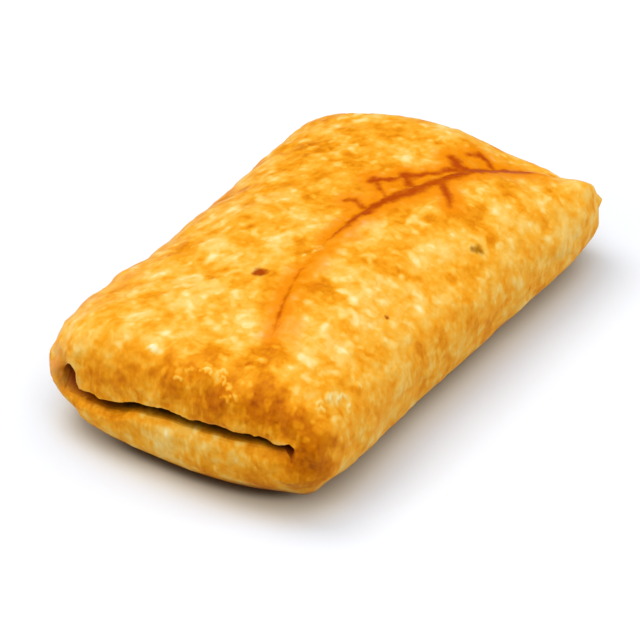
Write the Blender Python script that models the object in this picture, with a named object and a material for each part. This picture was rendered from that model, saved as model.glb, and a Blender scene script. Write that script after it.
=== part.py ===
"""A pizza puff: a round sheet of dough folded round its filling into a closed pocket, then deep fried.

The pocket is uncut, so it is one closed solid. The sheet's two ends are folded in first and its two
sides are wrapped over them, which gives what this script models, from the middle outwards:
  - a pillow of dough that lies on a flat underside,
  - at each short end a turned-in fold: an upper and a lower lip with a deep slit between them,
  - the outer flap, whose edge is an arc of the round sheet and crosses the top as a low step,
  - the ear that the flap leaves at one far corner, and the lumps and blisters of frying.

Units are metres. X runs along the puff, Y across it and Z up; the origin is the middle of the underside.
"""

import math
import random
from collections import namedtuple

import bmesh
import bpy
from mathutils import Vector, noise

MM = 0.001

# The wrapped pocket.
LENGTH = 137.6 * MM
WIDTH = 82.2 * MM
HEIGHT = 31.6 * MM
CROWN = 2.8 * MM  # how far the filling swells the middle of the top
SIDE_FULLNESS = 2.8  # superellipse exponents of the cross-section: 2 is an ellipse, more is boxier
TOP_FULLNESS = 2.5
BOTTOM_FULLNESS = 4.0
FAR_END_WIDER = 2.7 * MM
FAR_END_THINNER = 2.4 * MM
FAR_END_LEAN = 1.8 * MM  # the far end is thicker on +Y than on -Y
WAIST = 2.0 * MM  # how far the -Y side is pulled in at its middle
CORNER_LIFT = 3.4 * MM  # how far the corners curl off the table

# The turned-in folds at the two ends.
LIP_FULLNESS = 2.25
UPPER_CLOSED = 0.90  # how far each lip has closed on the slit where it stands out most: 1 is shut
LOWER_CLOSED = 0.72
INNER_ROLL = 3.1 * MM  # how far the lips roll back into the slit
FOLD_DEPTH = 6.4 * MM
NOSE_INSET = 7.5 * MM  # from the side of the puff to where its side walls stand out most
SLIT_INSET = 6.6 * MM  # from the side of the puff to the end of the slit
SLIT_END_BACK = 2.8 * MM  # the slit's two ends lie this much further back
SLIT_HALF_GAP = 0.83 * MM
SLIT_END_GAP = 0.41 * MM  # half the gap at the bottom of the slit
LIPS_PART = 0.4  # share of the cross-section's height over which the lips part at the slit's ends
LIP_RAGGED = 0.46 * MM  # unevenness of the lips' edges
LIP_RAGGED_SIZE = 3.2 * MM
RAGGED_ROUND = 12.8 * MM  # how far the unevenness is read from the bottom lip to the top one
RAGGED_APART = 22.4 * MM  # half of how far apart it is read for the two ends

# The outer flap, part of the round sheet's edge.
FLAP_RADIUS = 104.7 * MM
FLAP_CENTRE = (-0.7 * MM, -108.6 * MM)
FLAP_STEP = 0.92 * MM  # how far the flap's edge stands above the layer below
FLAP_EDGE_WIDTH = 2.0 * MM
FLAP_FADE = 27.6 * MM  # the flap's extra height dies out over this distance
FLAP_GROOVE = 0.46 * MM
FLAP_GROOVE_OUT = 1.4 * MM  # the groove lies this far outside the edge
FLAP_LOWEST = (7.4 * MM, 16.6 * MM)  # down the near end the flap's edge dies out between these heights
FLAP_RUNS_ON = 1.0  # how much of its way down that end counts as way along the puff
NEAR_SHOULDER = (46.0 * MM, 60.7 * MM)  # between these distances the near shoulder turns down

# The ear at the far corner on the -Y side.
EAR_PLACE = (64.4 * MM, -36.1 * MM, 26.4 * MM)
EAR_PULL = (0.92 * MM, -2.2 * MM, 2.0 * MM)
EAR_RADIUS = 7.4 * MM

# The dip in the top where the flap runs out at the far end.
DIP_PLACE = (62.3 * MM, -19.8 * MM)
DIP_DEPTH = 3.7 * MM
DIP_RADIUS = 21.2 * MM

# Unevenness of the fried dough.
SWELL_HEIGHT = 0.83 * MM
SWELL_SIZE = 22.1 * MM
SWELL_START = (-18.2, -11.9, 8.4)  # where in the noise the swell is read, in swell sizes
LUMP_HEIGHT = 0.41 * MM
LUMP_SIZE = 7.8 * MM
LUMP_START = (5.0, 3.0, 9.0)
BLISTER_COUNT = 110
BLISTER_RADIUS = (2.6 * MM, 5.2 * MM)
BLISTER_HEIGHT = 0.17  # of its radius
BLISTER_SEED = 19
# The blisters that stand out most: place, radius and height.
LARGE_BLISTERS = (
    ((-37.7 * MM, 35.7 * MM, 26.7 * MM), 6.4 * MM, 1.1 * MM),
    ((-64.9 * MM, -15.6 * MM, 28.5 * MM), 3.1 * MM, 0.74 * MM),
    ((-63.9 * MM, -7.8 * MM, 31.3 * MM), 4.1 * MM, 0.64 * MM),
    ((-49.5 * MM, -32.6 * MM, 29.0 * MM), 5.5 * MM, 0.83 * MM),
    ((-49.7 * MM, -25.3 * MM, 32.2 * MM), 4.6 * MM, 0.55 * MM),
)
UNDERSIDE_CALM = 0.25  # share of that unevenness left on the underside, which fried flat
FLAT_SUNK = 0.8 * MM  # how much of the underside is pressed flat

# Where a form fades in and where it is whole. The first three are the height of the surface's normal:
# -1 faces down, 0 sideways and 1 up.
CALM_ENDS = (-0.75, -0.1)
DIP_FACES = (0.3, 0.9)
FLAP_FACES = (0.15, 0.6)
LEAD_SHOWS = (0.0, 0.6)  # share of the outer roll
RAGGED_SHOWS = (0.4, 0.9)
SLIT_ENDS = (0.75, 1.0)  # share of the way across
SLIT_STARTS = (0.0, 0.6)  # share of the inner roll
END_SHAPE = (0.1, 1.0)  # share of the way from the middle to an end
LEAN_SHOWS = (0.2, 1.0)

# How finely the skin is divided.
POINTS_ROUND = 80
BODY_RINGS = 36
LIP_RINGS = 8
ROLL_RINGS = 4
SLIT_RINGS = 3
OUTLINE_SAMPLES = 400
SEAM_MERGE = 0.001 * MM  # points of the seam closer than this are one

# The two ends of the puff.
#   side   -1 for the -X end and 1 for the +X end
#   roll   the length over which the end rounds off
#   bulge  how far its middle stands out past its corners
#   skew   how far its +Y corner stands out, and its -Y corner back
#   lead   how far the lower lip stands out past the upper one
#   mouth  the height of the slit's middle
#   drop   how much lower the slit lies towards its +Y end
#   rise   how much higher it lies towards its -Y end
#   hook   how far it then hooks down at that end
#   pit    the height of the hollow left open at its +Y end
End = namedtuple("End", "side roll bulge skew lead mouth drop rise hook pit")
NEAR = End(
    side=-1, roll=12.2 * MM, bulge=3.5 * MM, skew=0.46 * MM, lead=1.7 * MM,
    mouth=18.2 * MM, drop=6.3 * MM, rise=1.8 * MM, hook=3.1 * MM, pit=5.9 * MM,
)
FAR = End(
    side=1, roll=15.5 * MM, bulge=4.9 * MM, skew=-6.0 * MM, lead=1.1 * MM,
    mouth=15.6 * MM, drop=1.8 * MM, rise=0.0 * MM, hook=0.55 * MM, pit=1.8 * MM,
)
HOOK_LENGTH = 2.8 * MM
PIT_FROM_SLIT_END = 3.1 * MM
PIT_RADIUS = 4.4 * MM
PIT_FLAT = 0.3  # share of its radius over which the pit keeps its full height
PIT_CLOSES = 0.6  # share of its height that it loses towards the bottom of the slit

CRUST_COLOUR = (0.79, 0.40, 0.085, 1.0)
CRUST_ROUGHNESS = 0.45


def mix(a, b, share):
    return a + (b - a) * share


def ramp(low, high, value):
    """0 up to low, 1 from high on, and a soft slope between them."""
    share = min(max((value - low) / (high - low), 0.0), 1.0)
    return share * share * (3.0 - 2.0 * share)


def bump(distance, radius):
    """1 at the middle of a soft round bump and 0 from its rim on."""
    share = min(distance / radius, 1.0)
    return (1.0 - share * share) ** 2


def signed_power(value, exponent):
    return math.copysign(abs(value) ** exponent, value)


def half_outline(height_fullness, start):
    """Half of the unit cross-section, counter-clockwise from angle start.

    Its points are evenly spaced along the outline at its real width and height.
    """
    samples = []
    for i in range(OUTLINE_SAMPLES + 1):
        angle = start + math.pi * i / OUTLINE_SAMPLES
        side = signed_power(math.cos(angle), 2.0 / SIDE_FULLNESS)
        height = signed_power(math.sin(angle), 2.0 / height_fullness)
        samples.append((side, height))
    lengths = [0.0]
    for (side_a, height_a), (side_b, height_b) in zip(samples, samples[1:]):
        step = math.hypot((side_b - side_a) * WIDTH, (height_b - height_a) * HEIGHT)
        lengths.append(lengths[-1] + step)
    outline = []
    k = 0
    for i in range(POINTS_ROUND // 2):
        wanted = lengths[-1] * i / (POINTS_ROUND // 2)
        while lengths[k + 1] < wanted:
            k += 1
        share = (wanted - lengths[k]) / (lengths[k + 1] - lengths[k])
        outline.append(tuple(mix(a, b, share) for a, b in zip(samples[k], samples[k + 1])))
    return outline


# A ring of one end.
#   back   its distance behind the end's nose
#   inset  its distance in from the puff's sides
#   outer  how far it has gone round the outer roll of the lips, from 0 to 1
#   inner  how far it has then gone round their inner roll, from 0 to 1
#   depth  how deep it lies inside the slit
Station = namedtuple("Station", "back inset outer inner depth")


def end_stations(end):
    """The rings of one end, from the bottom of its slit outwards."""
    stations = []
    for i in range(SLIT_RINGS):
        depth = FOLD_DEPTH * (1.0 - i / SLIT_RINGS)
        stations.append(Station(INNER_ROLL + depth, SLIT_INSET, 1.0, 1.0, depth))
    for i in range(ROLL_RINGS):
        turn = math.pi / 2.0 * (1.0 - i / ROLL_RINGS)
        inner = math.sin(turn)
        inset = mix(NOSE_INSET, SLIT_INSET, inner)
        stations.append(Station(INNER_ROLL * (1.0 - math.cos(turn)), inset, 1.0, inner, 0.0))
    for i in range(LIP_RINGS):
        turn = math.pi / 2.0 * (1.0 - i / LIP_RINGS)
        outer = 1.0 - math.cos(turn) ** (2.0 / LIP_FULLNESS)
        back = end.roll * (1.0 - math.sin(turn) ** (2.0 / LIP_FULLNESS))
        stations.append(Station(back, NOSE_INSET * outer, outer, 0.0, 0.0))
    return stations


def slit_line(end, y):
    """The height of the middle of an end's slit at y."""
    reach = WIDTH / 2.0 - SLIT_INSET
    sloped = end.mouth - end.drop * ramp(0.0, reach, y) + end.rise * ramp(0.0, reach, -y)
    return sloped - end.hook * ramp(reach - HOOK_LENGTH, reach, -y)


def slit_edge(end, y, depth, upper):
    """The height of one edge of an end's slit at y: its line and half its gap, wider at the open pit."""
    gap = mix(SLIT_HALF_GAP, SLIT_END_GAP, depth / FOLD_DEPTH)
    if not upper:
        return slit_line(end, y) - gap
    pit_y = WIDTH / 2.0 - SLIT_INSET - PIT_FROM_SLIT_END
    pit = end.pit * (1.0 - ramp(PIT_FLAT * PIT_RADIUS, PIT_RADIUS, abs(y - pit_y)))
    return slit_line(end, y) + gap + pit * (1.0 - PIT_CLOSES * depth / FOLD_DEPTH)


def end_point(end, station, side, height, upper):
    """A point of the skin at one end, before the pocket is bent into its uneven shape."""
    y = side * (WIDTH / 2.0 - station.inset)
    body_z = HEIGHT / 2.0 * (1.0 + height)
    # Where the slit meets its ends both lips come together.
    apart = min(abs(height) / LIPS_PART, 1.0)
    nose_closed = mix((UPPER_CLOSED + LOWER_CLOSED) / 2.0, UPPER_CLOSED if upper else LOWER_CLOSED, apart)
    closed = mix(nose_closed * station.outer, 1.0, station.inner)
    edge_z = mix(slit_line(end, y), slit_edge(end, y, station.depth, upper), apart)
    lead = (-end.lead if upper else end.lead) / 2.0 * apart * ramp(*LEAD_SHOWS, station.outer)
    read_at = Vector((y, RAGGED_ROUND * height, RAGGED_APART * end.side)) / LIP_RAGGED_SIZE
    ragged = LIP_RAGGED * noise.noise(read_at)
    forward = lead + ragged * ramp(*RAGGED_SHOWS, station.outer) - station.back
    forward -= SLIT_END_BACK * ramp(*SLIT_ENDS, abs(side)) * station.inner
    return Vector((end.side * (LENGTH / 2.0 + forward), y, mix(body_z, edge_z, closed)))


def wrap_unevenly(point):
    """Bends the regular pocket into the real one: its plan, its thickness and its lifted corners."""
    along = 2.0 * point.x / LENGTH
    across = 2.0 * point.y / WIDTH
    end = NEAR if along < 0.0 else FAR
    toward_end = ramp(*END_SHAPE, abs(along))
    x = point.x - end.side * (end.bulge * across * across - end.skew * across) * toward_end
    y = point.y * (1.0 + FAR_END_WIDER / WIDTH * along)
    y += WAIST * max(-across, 0.0) * max(1.0 - along * along, 0.0)
    thickness = 1.0 - FAR_END_THINNER / HEIGHT * along / 2.0
    thickness += FAR_END_LEAN / HEIGHT * across * ramp(*LEAN_SHOWS, along)
    thickness += CROWN / HEIGHT * max(1.0 - along * along, 0.0) * max(1.0 - across * across, 0.0)
    corner = min(along * along, 1.0) * min(across * across, 1.0)
    low = 1.0 - min(max(point.z / HEIGHT, 0.0), 1.0)
    return Vector((x, y, point.z * thickness + CORNER_LIFT * corner * low))


def skin_rings():
    """The rings of skin points from the bottom of the near slit to the bottom of the far one.

    Each is (points, openness). Openness is 0 inside the slit, where the relief dies out, and 1 outside.
    """
    outline = [(p, True) for p in half_outline(TOP_FULLNESS, 0.0)]
    outline += [(p, False) for p in half_outline(BOTTOM_FULLNESS, math.pi)]

    def end_ring(end, station):
        points = [wrap_unevenly(end_point(end, station, *p, upper)) for p, upper in outline]
        return points, 1.0 - ramp(*SLIT_STARTS, station.inner)

    rings = [end_ring(NEAR, station) for station in end_stations(NEAR)]
    start = -LENGTH / 2.0 + NEAR.roll
    stop = LENGTH / 2.0 - FAR.roll
    for i in range(BODY_RINGS + 1):
        x = mix(start, stop, i / BODY_RINGS)
        points = []
        for (side, height), _ in outline:
            points.append(wrap_unevenly(Vector((x, side * WIDTH / 2.0, HEIGHT / 2.0 * (1.0 + height)))))
        rings.append((points, 1.0))
    rings += [end_ring(FAR, station) for station in reversed(end_stations(FAR))]
    return rings


def close_slit(bm, loop):
    """Shuts the bottom of a slit by joining its upper edge to its lower one, point by point."""
    for j in range(POINTS_ROUND // 2):
        corners = [loop[j], loop[j + 1], loop[-j - 1], loop[-j % POINTS_ROUND]]
        bm.faces.new(list(dict.fromkeys(corners)))


def build_skin(rings):
    """Rolls a flat grid up into the pocket, one row for each ring, and closes its seam and its slits."""
    bm = bmesh.new()
    open_layer = bm.verts.layers.float.new("openness")
    made = bmesh.ops.create_grid(bm, x_segments=POINTS_ROUND, y_segments=len(rings) - 1)
    row_length = POINTS_ROUND + 1
    for i, (points, openness) in enumerate(rings):
        row = made["verts"][i * row_length:(i + 1) * row_length]
        for vert, point in zip(row, points + points[:1]):
            vert.co = point
            vert[open_layer] = openness
        if i in (0, len(rings) - 1):
            close_slit(bm, row[:POINTS_ROUND])
    bmesh.ops.remove_doubles(bm, verts=bm.verts, dist=SEAM_MERGE)
    bmesh.ops.recalc_face_normals(bm, faces=bm.faces)
    return bm, open_layer


def flap_height(point, normal):
    """The outer flap's relief on the top and the near end: a step at its edge, a groove at its foot."""
    # Over the near shoulder the sheet turns down, so its arc goes on in height.
    run_on = FLAP_RUNS_ON * max(HEIGHT - point.z, 0.0) * ramp(*NEAR_SHOULDER, -point.x)
    inside = FLAP_RADIUS - math.hypot(point.x - run_on - FLAP_CENTRE[0], point.y - FLAP_CENTRE[1])
    shown = ramp(*FLAP_FACES, max(normal.z, -normal.x)) * ramp(*FLAP_LOWEST, point.z)
    step = FLAP_STEP * ramp(-FLAP_EDGE_WIDTH / 2.0, FLAP_EDGE_WIDTH / 2.0, inside)
    step *= 1.0 - ramp(0.0, FLAP_FADE, inside)
    groove = FLAP_GROOVE * bump(abs(inside + FLAP_GROOVE_OUT), FLAP_EDGE_WIDTH)
    return (step - groove) * shown


def scatter_blisters(bm, open_layer):
    """The blisters as (centre, radius, height): the large ones, then many all over the outside."""
    draw = random.Random(BLISTER_SEED)
    faces = [f for f in bm.faces if all(v[open_layer] == 1.0 for v in f.verts)]
    faces.sort(key=lambda face: face.calc_center_median()[:])
    areas = [face.calc_area() for face in faces]
    blisters = [(Vector(place), radius, height) for place, radius, height in LARGE_BLISTERS]
    for face in draw.choices(faces, weights=areas, k=BLISTER_COUNT):
        radius = mix(*BLISTER_RADIUS, draw.random() ** 2)  # small ones are the commonest
        blisters.append((face.calc_center_median(), radius, BLISTER_HEIGHT * radius))
    return blisters


def fried_relief(point, blisters):
    """The dough's unevenness at a point of the skin: a wide swell, lumps and round blisters."""
    height = SWELL_HEIGHT * noise.noise(point / SWELL_SIZE + Vector(SWELL_START))
    height += LUMP_HEIGHT * noise.noise(point / LUMP_SIZE + Vector(LUMP_START))
    for centre, radius, rise in blisters:
        distance = (point - centre).length
        if distance < radius:
            height += rise * bump(distance, radius)
    return height


def raise_relief(bm, open_layer):
    """Moves the skin along its normals by the flap, the dip and the blisters, and pulls out the ear."""
    blisters = scatter_blisters(bm, open_layer)
    ear = Vector(EAR_PLACE)
    moves = []
    for vert in bm.verts:
        calm = mix(UNDERSIDE_CALM, 1.0, ramp(*CALM_ENDS, vert.normal.z))
        height = fried_relief(vert.co, blisters) * calm + flap_height(vert.co, vert.normal)
        from_dip = math.hypot(vert.co.x - DIP_PLACE[0], vert.co.y - DIP_PLACE[1])
        height -= DIP_DEPTH * bump(from_dip, DIP_RADIUS) * ramp(*DIP_FACES, vert.normal.z)
        move = vert.normal * height * vert[open_layer]
        move += Vector(EAR_PULL) * bump((vert.co - ear).length, EAR_RADIUS)
        moves.append(move)
    for vert, move in zip(bm.verts, moves):
        vert.co += move


def settle(bm):
    """Centres the puff over the origin and presses its underside flat on Z = 0."""
    low = Vector(min(v.co[axis] for v in bm.verts) for axis in range(3))
    high = Vector(max(v.co[axis] for v in bm.verts) for axis in range(3))
    middle = (low + high) / 2.0
    down = Vector((middle.x, middle.y, low.z + FLAT_SUNK))
    for vert in bm.verts:
        vert.co -= down
        vert.co.z = max(vert.co.z, 0.0)


def crust_material():
    """Golden fried dough with a slight gloss of oil."""
    material = bpy.data.materials.new("fried_crust")
    material.use_nodes = True
    shader = material.node_tree.nodes["Principled BSDF"]
    shader.inputs["Base Color"].default_value = CRUST_COLOUR
    shader.inputs["Roughness"].default_value = CRUST_ROUGHNESS
    shader.inputs["Metallic"].default_value = 0.0
    return material


def build_puff():
    """The whole puff, as one closed mesh of triangles."""
    bm, open_layer = build_skin(skin_rings())
    bm.normal_update()
    raise_relief(bm, open_layer)
    settle(bm)
    bmesh.ops.triangulate(bm, faces=bm.faces)
    mesh = bpy.data.meshes.new("pizza_puff")
    bm.to_mesh(mesh)
    bm.free()
    mesh.materials.append(crust_material())
    mesh.shade_smooth()
    puff = bpy.data.objects.new("pizza_puff", mesh)
    bpy.context.scene.collection.objects.link(puff)
    return puff


def clear_scene():
    for obj in list(bpy.data.objects):
        bpy.data.objects.remove(obj)


clear_scene()
build_puff()
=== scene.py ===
# %% [markdown]
# # A deep-fried pizza puff
# A pizza puff is a round sheet of dough, wrapped round a filling into a flat closed pocket and deep fried.
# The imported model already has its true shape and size. What it lacks is its skin: fine blisters and
# wrinkles, the ragged edge of the flap, pale patches of dry flour, and the brown lines where the hot oil
# caught the dough. This lesson loads the model, lights it, makes a dense skin from a copy of it, raises
# the relief of frying on that skin, and mixes the colours of the crust.

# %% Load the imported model
import math
import random
from collections import namedtuple

import bmesh
import bpy
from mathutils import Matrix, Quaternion, Vector, noise
from mathutils.bvhtree import BVHTree
from mathutils.kdtree import KDTree


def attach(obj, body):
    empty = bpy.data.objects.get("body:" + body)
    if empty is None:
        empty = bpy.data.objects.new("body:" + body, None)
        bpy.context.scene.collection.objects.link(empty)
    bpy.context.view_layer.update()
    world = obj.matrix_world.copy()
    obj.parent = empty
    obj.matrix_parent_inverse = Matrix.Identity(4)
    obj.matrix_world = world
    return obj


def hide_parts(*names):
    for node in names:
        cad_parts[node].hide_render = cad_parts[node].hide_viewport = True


MM = 0.001
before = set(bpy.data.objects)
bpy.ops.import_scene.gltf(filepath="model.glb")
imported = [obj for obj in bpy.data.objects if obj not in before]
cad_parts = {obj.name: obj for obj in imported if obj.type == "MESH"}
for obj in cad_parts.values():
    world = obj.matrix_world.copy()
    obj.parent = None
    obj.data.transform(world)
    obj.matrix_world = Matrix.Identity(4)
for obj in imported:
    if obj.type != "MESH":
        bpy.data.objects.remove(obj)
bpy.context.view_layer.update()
puff_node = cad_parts["pizza_puff"]

# %% [markdown]
# ## The camera
# The puff is seen from above one of its short ends, a little to the right of it. A long lens from 75 cm
# away gives the gentle perspective of a food photograph. It could be placed by typing its location and
# turning it by hand. Here it is placed by azimuth, elevation and distance from the point it looks at,
# because those three are what one compares with a picture.

# %% Place the camera
CAMERA_AZIMUTH = math.radians(-57.03)
CAMERA_ELEVATION = math.radians(35.47)
CAMERA_DISTANCE = 753.0 * MM
CAMERA_LENS = 172.6  # millimetres of focal length on a sensor 36 mm wide
LOOKED_AT = Vector((-11.14, -4.81, 13.25)) * MM


def direction(azimuth, elevation):
    """The direction towards something at that azimuth and elevation. Azimuth 0 is towards -Y."""
    flat = math.cos(elevation)
    return Vector((math.sin(azimuth) * flat, -math.cos(azimuth) * flat, math.sin(elevation)))


def aim(thing, place, target):
    """Puts a camera or a lamp at a place and turns its -Z axis to the target."""
    thing.location = place
    thing.rotation_mode = "QUATERNION"
    thing.rotation_quaternion = (target - place).to_track_quat("-Z", "Y")


def add_to_scene(name, data):
    thing = bpy.data.objects.new(name, data)
    bpy.context.scene.collection.objects.link(thing)
    return thing


camera = add_to_scene("camera", bpy.data.cameras.new("camera"))
camera.data.sensor_width = 36.0
camera.data.lens = CAMERA_LENS
aim(camera, LOOKED_AT + direction(CAMERA_AZIMUTH, CAMERA_ELEVATION) * CAMERA_DISTANCE, LOOKED_AT)
bpy.context.scene.camera = camera
print("camera at", [round(value, 3) for value in camera.location])

# %% [markdown]
# ## Tools for wiring a material
# A material is a graph of nodes. Adding each node by hand takes four or five lines, so these small
# functions do it: each adds one node and returns its output, and they can be nested like arithmetic. The
# floor and the sky need them too, so they come before the studio.

# %% Nodes as functions
# The Mix node has sockets for every kind of data. These are the numbers of its colour sockets.
MIX_SHARE, MIX_FIRST, MIX_SECOND, MIX_RESULT = 0, 6, 7, 2
NOISE_MIDDLE = 0.5
NEARNESS_SAMPLES = 12


def plug(tree, socket, value):
    """Links a socket to another node's output, or sets its number or colour."""
    if isinstance(value, bpy.types.NodeSocket):
        tree.links.new(value, socket)
    else:
        socket.default_value = value


def calculate(tree, operation, *values):
    node = tree.nodes.new("ShaderNodeMath")
    node.operation = operation
    for socket, value in zip(node.inputs, values):
        plug(tree, socket, value)
    return node.outputs["Value"]


def soft_step(tree, value, low, high):
    """0 up to low, 1 from high on, and a soft slope between them. High may be less than low."""
    node = tree.nodes.new("ShaderNodeMapRange")
    node.interpolation_type = "SMOOTHSTEP"
    plug(tree, node.inputs["Value"], value)
    node.inputs["From Min"].default_value = low
    node.inputs["From Max"].default_value = high
    return node.outputs["Result"]


def mixed(tree, share, first, second):
    node = tree.nodes.new("ShaderNodeMix")
    node.data_type = "RGBA"
    plug(tree, node.inputs[MIX_SHARE], share)
    plug(tree, node.inputs[MIX_FIRST], first)
    plug(tree, node.inputs[MIX_SECOND], second)
    return node.outputs[MIX_RESULT]


def times(tree, first, second):
    return calculate(tree, "MULTIPLY", first, second)


def mask(tree, name):
    """A number that the mesh carries at each point."""
    node = tree.nodes.new("ShaderNodeAttribute")
    node.attribute_name = name
    return node.outputs["Fac"]


def millimetres(tree, stretch=(1.0, 1.0, 1.0), shift=(0.0, 0.0, 0.0)):
    """The place on the puff in millimetres, stretched and shifted for a pattern."""
    coordinates = tree.nodes.new("ShaderNodeTexCoord")
    mapping = tree.nodes.new("ShaderNodeMapping")
    mapping.inputs["Scale"].default_value = [value / MM for value in stretch]
    mapping.inputs["Location"].default_value = shift
    plug(tree, mapping.inputs["Vector"], coordinates.outputs["Object"])
    return mapping.outputs["Vector"]


def way_along_y(tree):
    """How far along Y a point lies, in millimetres."""
    place = tree.nodes.new("ShaderNodeSeparateXYZ")
    plug(tree, place.inputs["Vector"], millimetres(tree))
    return place.outputs["Y"]


def noise_at(tree, where, size, detail=1.0, roughness=0.5):
    """Noise with lumps of that size in millimetres. It lies around 0, mostly within 0.3 of it."""
    node = tree.nodes.new("ShaderNodeTexNoise")
    plug(tree, node.inputs["Vector"], where)
    node.inputs["Scale"].default_value = 1.0 / size
    node.inputs["Detail"].default_value = detail
    node.inputs["Roughness"].default_value = roughness
    return calculate(tree, "SUBTRACT", node.outputs["Fac"], NOISE_MIDDLE)


def add_share(tree, total, pattern, share):
    """The total plus that share of a pattern."""
    return calculate(tree, "MULTIPLY_ADD", pattern, share, total)


def nearness(tree, reach):
    """How much of what is over a point within that reach is hidden, from 0 to 1."""
    node = tree.nodes.new("ShaderNodeAmbientOcclusion")
    node.samples = NEARNESS_SAMPLES
    node.inputs["Distance"].default_value = reach
    return calculate(tree, "SUBTRACT", 1.0, node.outputs["AO"])


print("material tools ready")

# %% [markdown]
# ## The studio
# The picture is a bright one on white, and only the puff's own soft shadow draws on the floor. Most of the
# light is a sky that is bright overhead and dark near the horizon, which makes the contact shadow deep. A
# wide lamp above and behind adds the shadow on the right, and three more open up the near end and the two
# sides. A large lamp has a soft shadow, so its size matters as much as its power. Shade is also painted on
# the floor: a warm painted shade close to the puff, as light bounced off golden crust tints white paper, and
# a dark painted contact shadow where the puff touches it, which fades out towards the puff's left side.

# %% Floor, sky and lamps
FLOOR_SIDE = 6.0
FLOOR_COLOUR = (0.615, 0.637, 0.672, 1.0)
FLOOR_ROUGHNESS = 0.6
FLOOR_GLOSS = 0.2
# The reach is in metres. The nearness is that at which the colour begins and at which it is full.
# Painted warm shade: the floor near the puff is tinted as if by light bounced off the crust.
PAINTED_WARM_SHADE = (0.65, 0.57, 0.42, 1.0)
PAINTED_WARM_SHADE_REACH = 0.012
PAINTED_WARM_SHADE_NEARNESS = (0.1, 0.8)
# Painted contact shadow: the floor is nearly black where the puff touches it.
PAINTED_CONTACT_SHADOW = (0.11, 0.058, 0.02, 1.0)
PAINTED_CONTACT_SHADOW_REACH = 0.004
PAINTED_CONTACT_SHADOW_NEARNESS = (0.35, 0.85)
CONTACT_SHADOW_FADES_Y = (28.0, 12.0)  # along Y in millimetres: no painted contact shadow from the first on, all of it up to the second
WHITE = (1.0, 1.0, 1.0, 1.0)
SKY_FROM = 0.4  # the sine of the elevation at which the sky begins
SKY_FULL = 0.8
SKY_STRENGTH = 1.6
LAMP_DISTANCE = 1.2
# Lamps: the azimuth and the elevation in degrees, the width in metres and the power in watts.
LAMPS = {
    "key_lamp": (178.0, 62.0, 0.9, 6.5),
    "near_lamp": (-45.0, 60.0, 0.9, 2.5),
    "side_lamp": (30.0, 15.0, 0.8, 7.5),
    "left_lamp": (-122.0, 20.0, 0.8, 6.0),
}


def floor_material():
    material = bpy.data.materials.new("white_floor")
    material.use_nodes = True
    tree = material.node_tree
    shader = tree.nodes["Principled BSDF"]
    # Painted shade on the floor: warm near the puff, and a dark contact shadow where it touches.
    warm_shade_share = soft_step(tree, nearness(tree, PAINTED_WARM_SHADE_REACH), *PAINTED_WARM_SHADE_NEARNESS)
    colour = mixed(tree, warm_shade_share, FLOOR_COLOUR, PAINTED_WARM_SHADE)
    contact_shadow_along_y = soft_step(tree, way_along_y(tree), *CONTACT_SHADOW_FADES_Y)
    contact_shadow_share = times(tree, contact_shadow_along_y, soft_step(tree, nearness(tree, PAINTED_CONTACT_SHADOW_REACH), *PAINTED_CONTACT_SHADOW_NEARNESS))
    plug(tree, shader.inputs["Base Color"], mixed(tree, contact_shadow_share, colour, PAINTED_CONTACT_SHADOW))
    shader.inputs["Roughness"].default_value = FLOOR_ROUGHNESS
    shader.inputs["Specular IOR Level"].default_value = FLOOR_GLOSS
    return material


def make_floor():
    surface = bmesh.new()
    bmesh.ops.create_grid(surface, x_segments=1, y_segments=1, size=FLOOR_SIDE / 2.0)
    mesh = bpy.data.meshes.new("floor")
    surface.to_mesh(mesh)
    surface.free()
    mesh.materials.append(floor_material())
    floor = add_to_scene("floor", mesh)
    return floor


def make_lamp(name, azimuth, elevation, width, power):
    light = bpy.data.lights.new(name, "AREA")
    light.shape = "DISK"
    light.size = width
    light.energy = power
    lamp = add_to_scene(name, light)
    towards = direction(math.radians(azimuth), math.radians(elevation))
    aim(lamp, LOOKED_AT + towards * LAMP_DISTANCE, LOOKED_AT)
    return lamp


def make_sky():
    sky = bpy.data.worlds.new("white_sky")
    sky.use_nodes = True
    tree = sky.node_tree
    background = tree.nodes["Background"]
    background.inputs["Color"].default_value = WHITE
    coordinates = tree.nodes.new("ShaderNodeTexCoord")
    parts = tree.nodes.new("ShaderNodeSeparateXYZ")
    plug(tree, parts.inputs["Vector"], coordinates.outputs["Generated"])
    overhead = tree.nodes.new("ShaderNodeMapRange")
    plug(tree, overhead.inputs["Value"], parts.outputs["Z"])
    overhead.inputs["From Min"].default_value = SKY_FROM
    overhead.inputs["From Max"].default_value = SKY_FULL
    overhead.inputs["To Max"].default_value = SKY_STRENGTH
    plug(tree, background.inputs["Strength"], overhead.outputs["Result"])
    bpy.context.scene.world = sky


floor = make_floor()
make_sky()
lamps = [make_lamp(name, *settings) for name, settings in LAMPS.items()]
bpy.context.scene.view_settings.view_transform = "Standard"
print("in the studio:", [thing.name for thing in (floor, *lamps)])

# %% [markdown]
# ## A skin from a copy of the model
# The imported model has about 10,000 triangles, a few millimetres wide: enough for its form, too few for
# blisters. Sculpting would need an artist's hand, and a voxel remesh would close the thin slits. So a copy
# is merged, its triangles are joined into quads, one level of Subdivision Surface rounds them, and what
# shows is then divided further. Only the parts with fine forms get the last division.

# %% Copy, merge and join into quads
MERGE = 0.002 * MM
FLAT_LIMIT = 0.001 * MM
FLAT_CELL = 5.0 * MM
FLAT_CELLS_EACH_WAY = 14
# Two triangles become a quad when they are this level with each other and the quad is this nearly square.
QUAD_LEVEL = math.radians(40.0)
QUAD_SQUARE = math.radians(60.0)


def each_once(things):
    """The things without repeats, in the order they come in. A set's order would differ in each run."""
    return list(dict.fromkeys(things))


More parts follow.
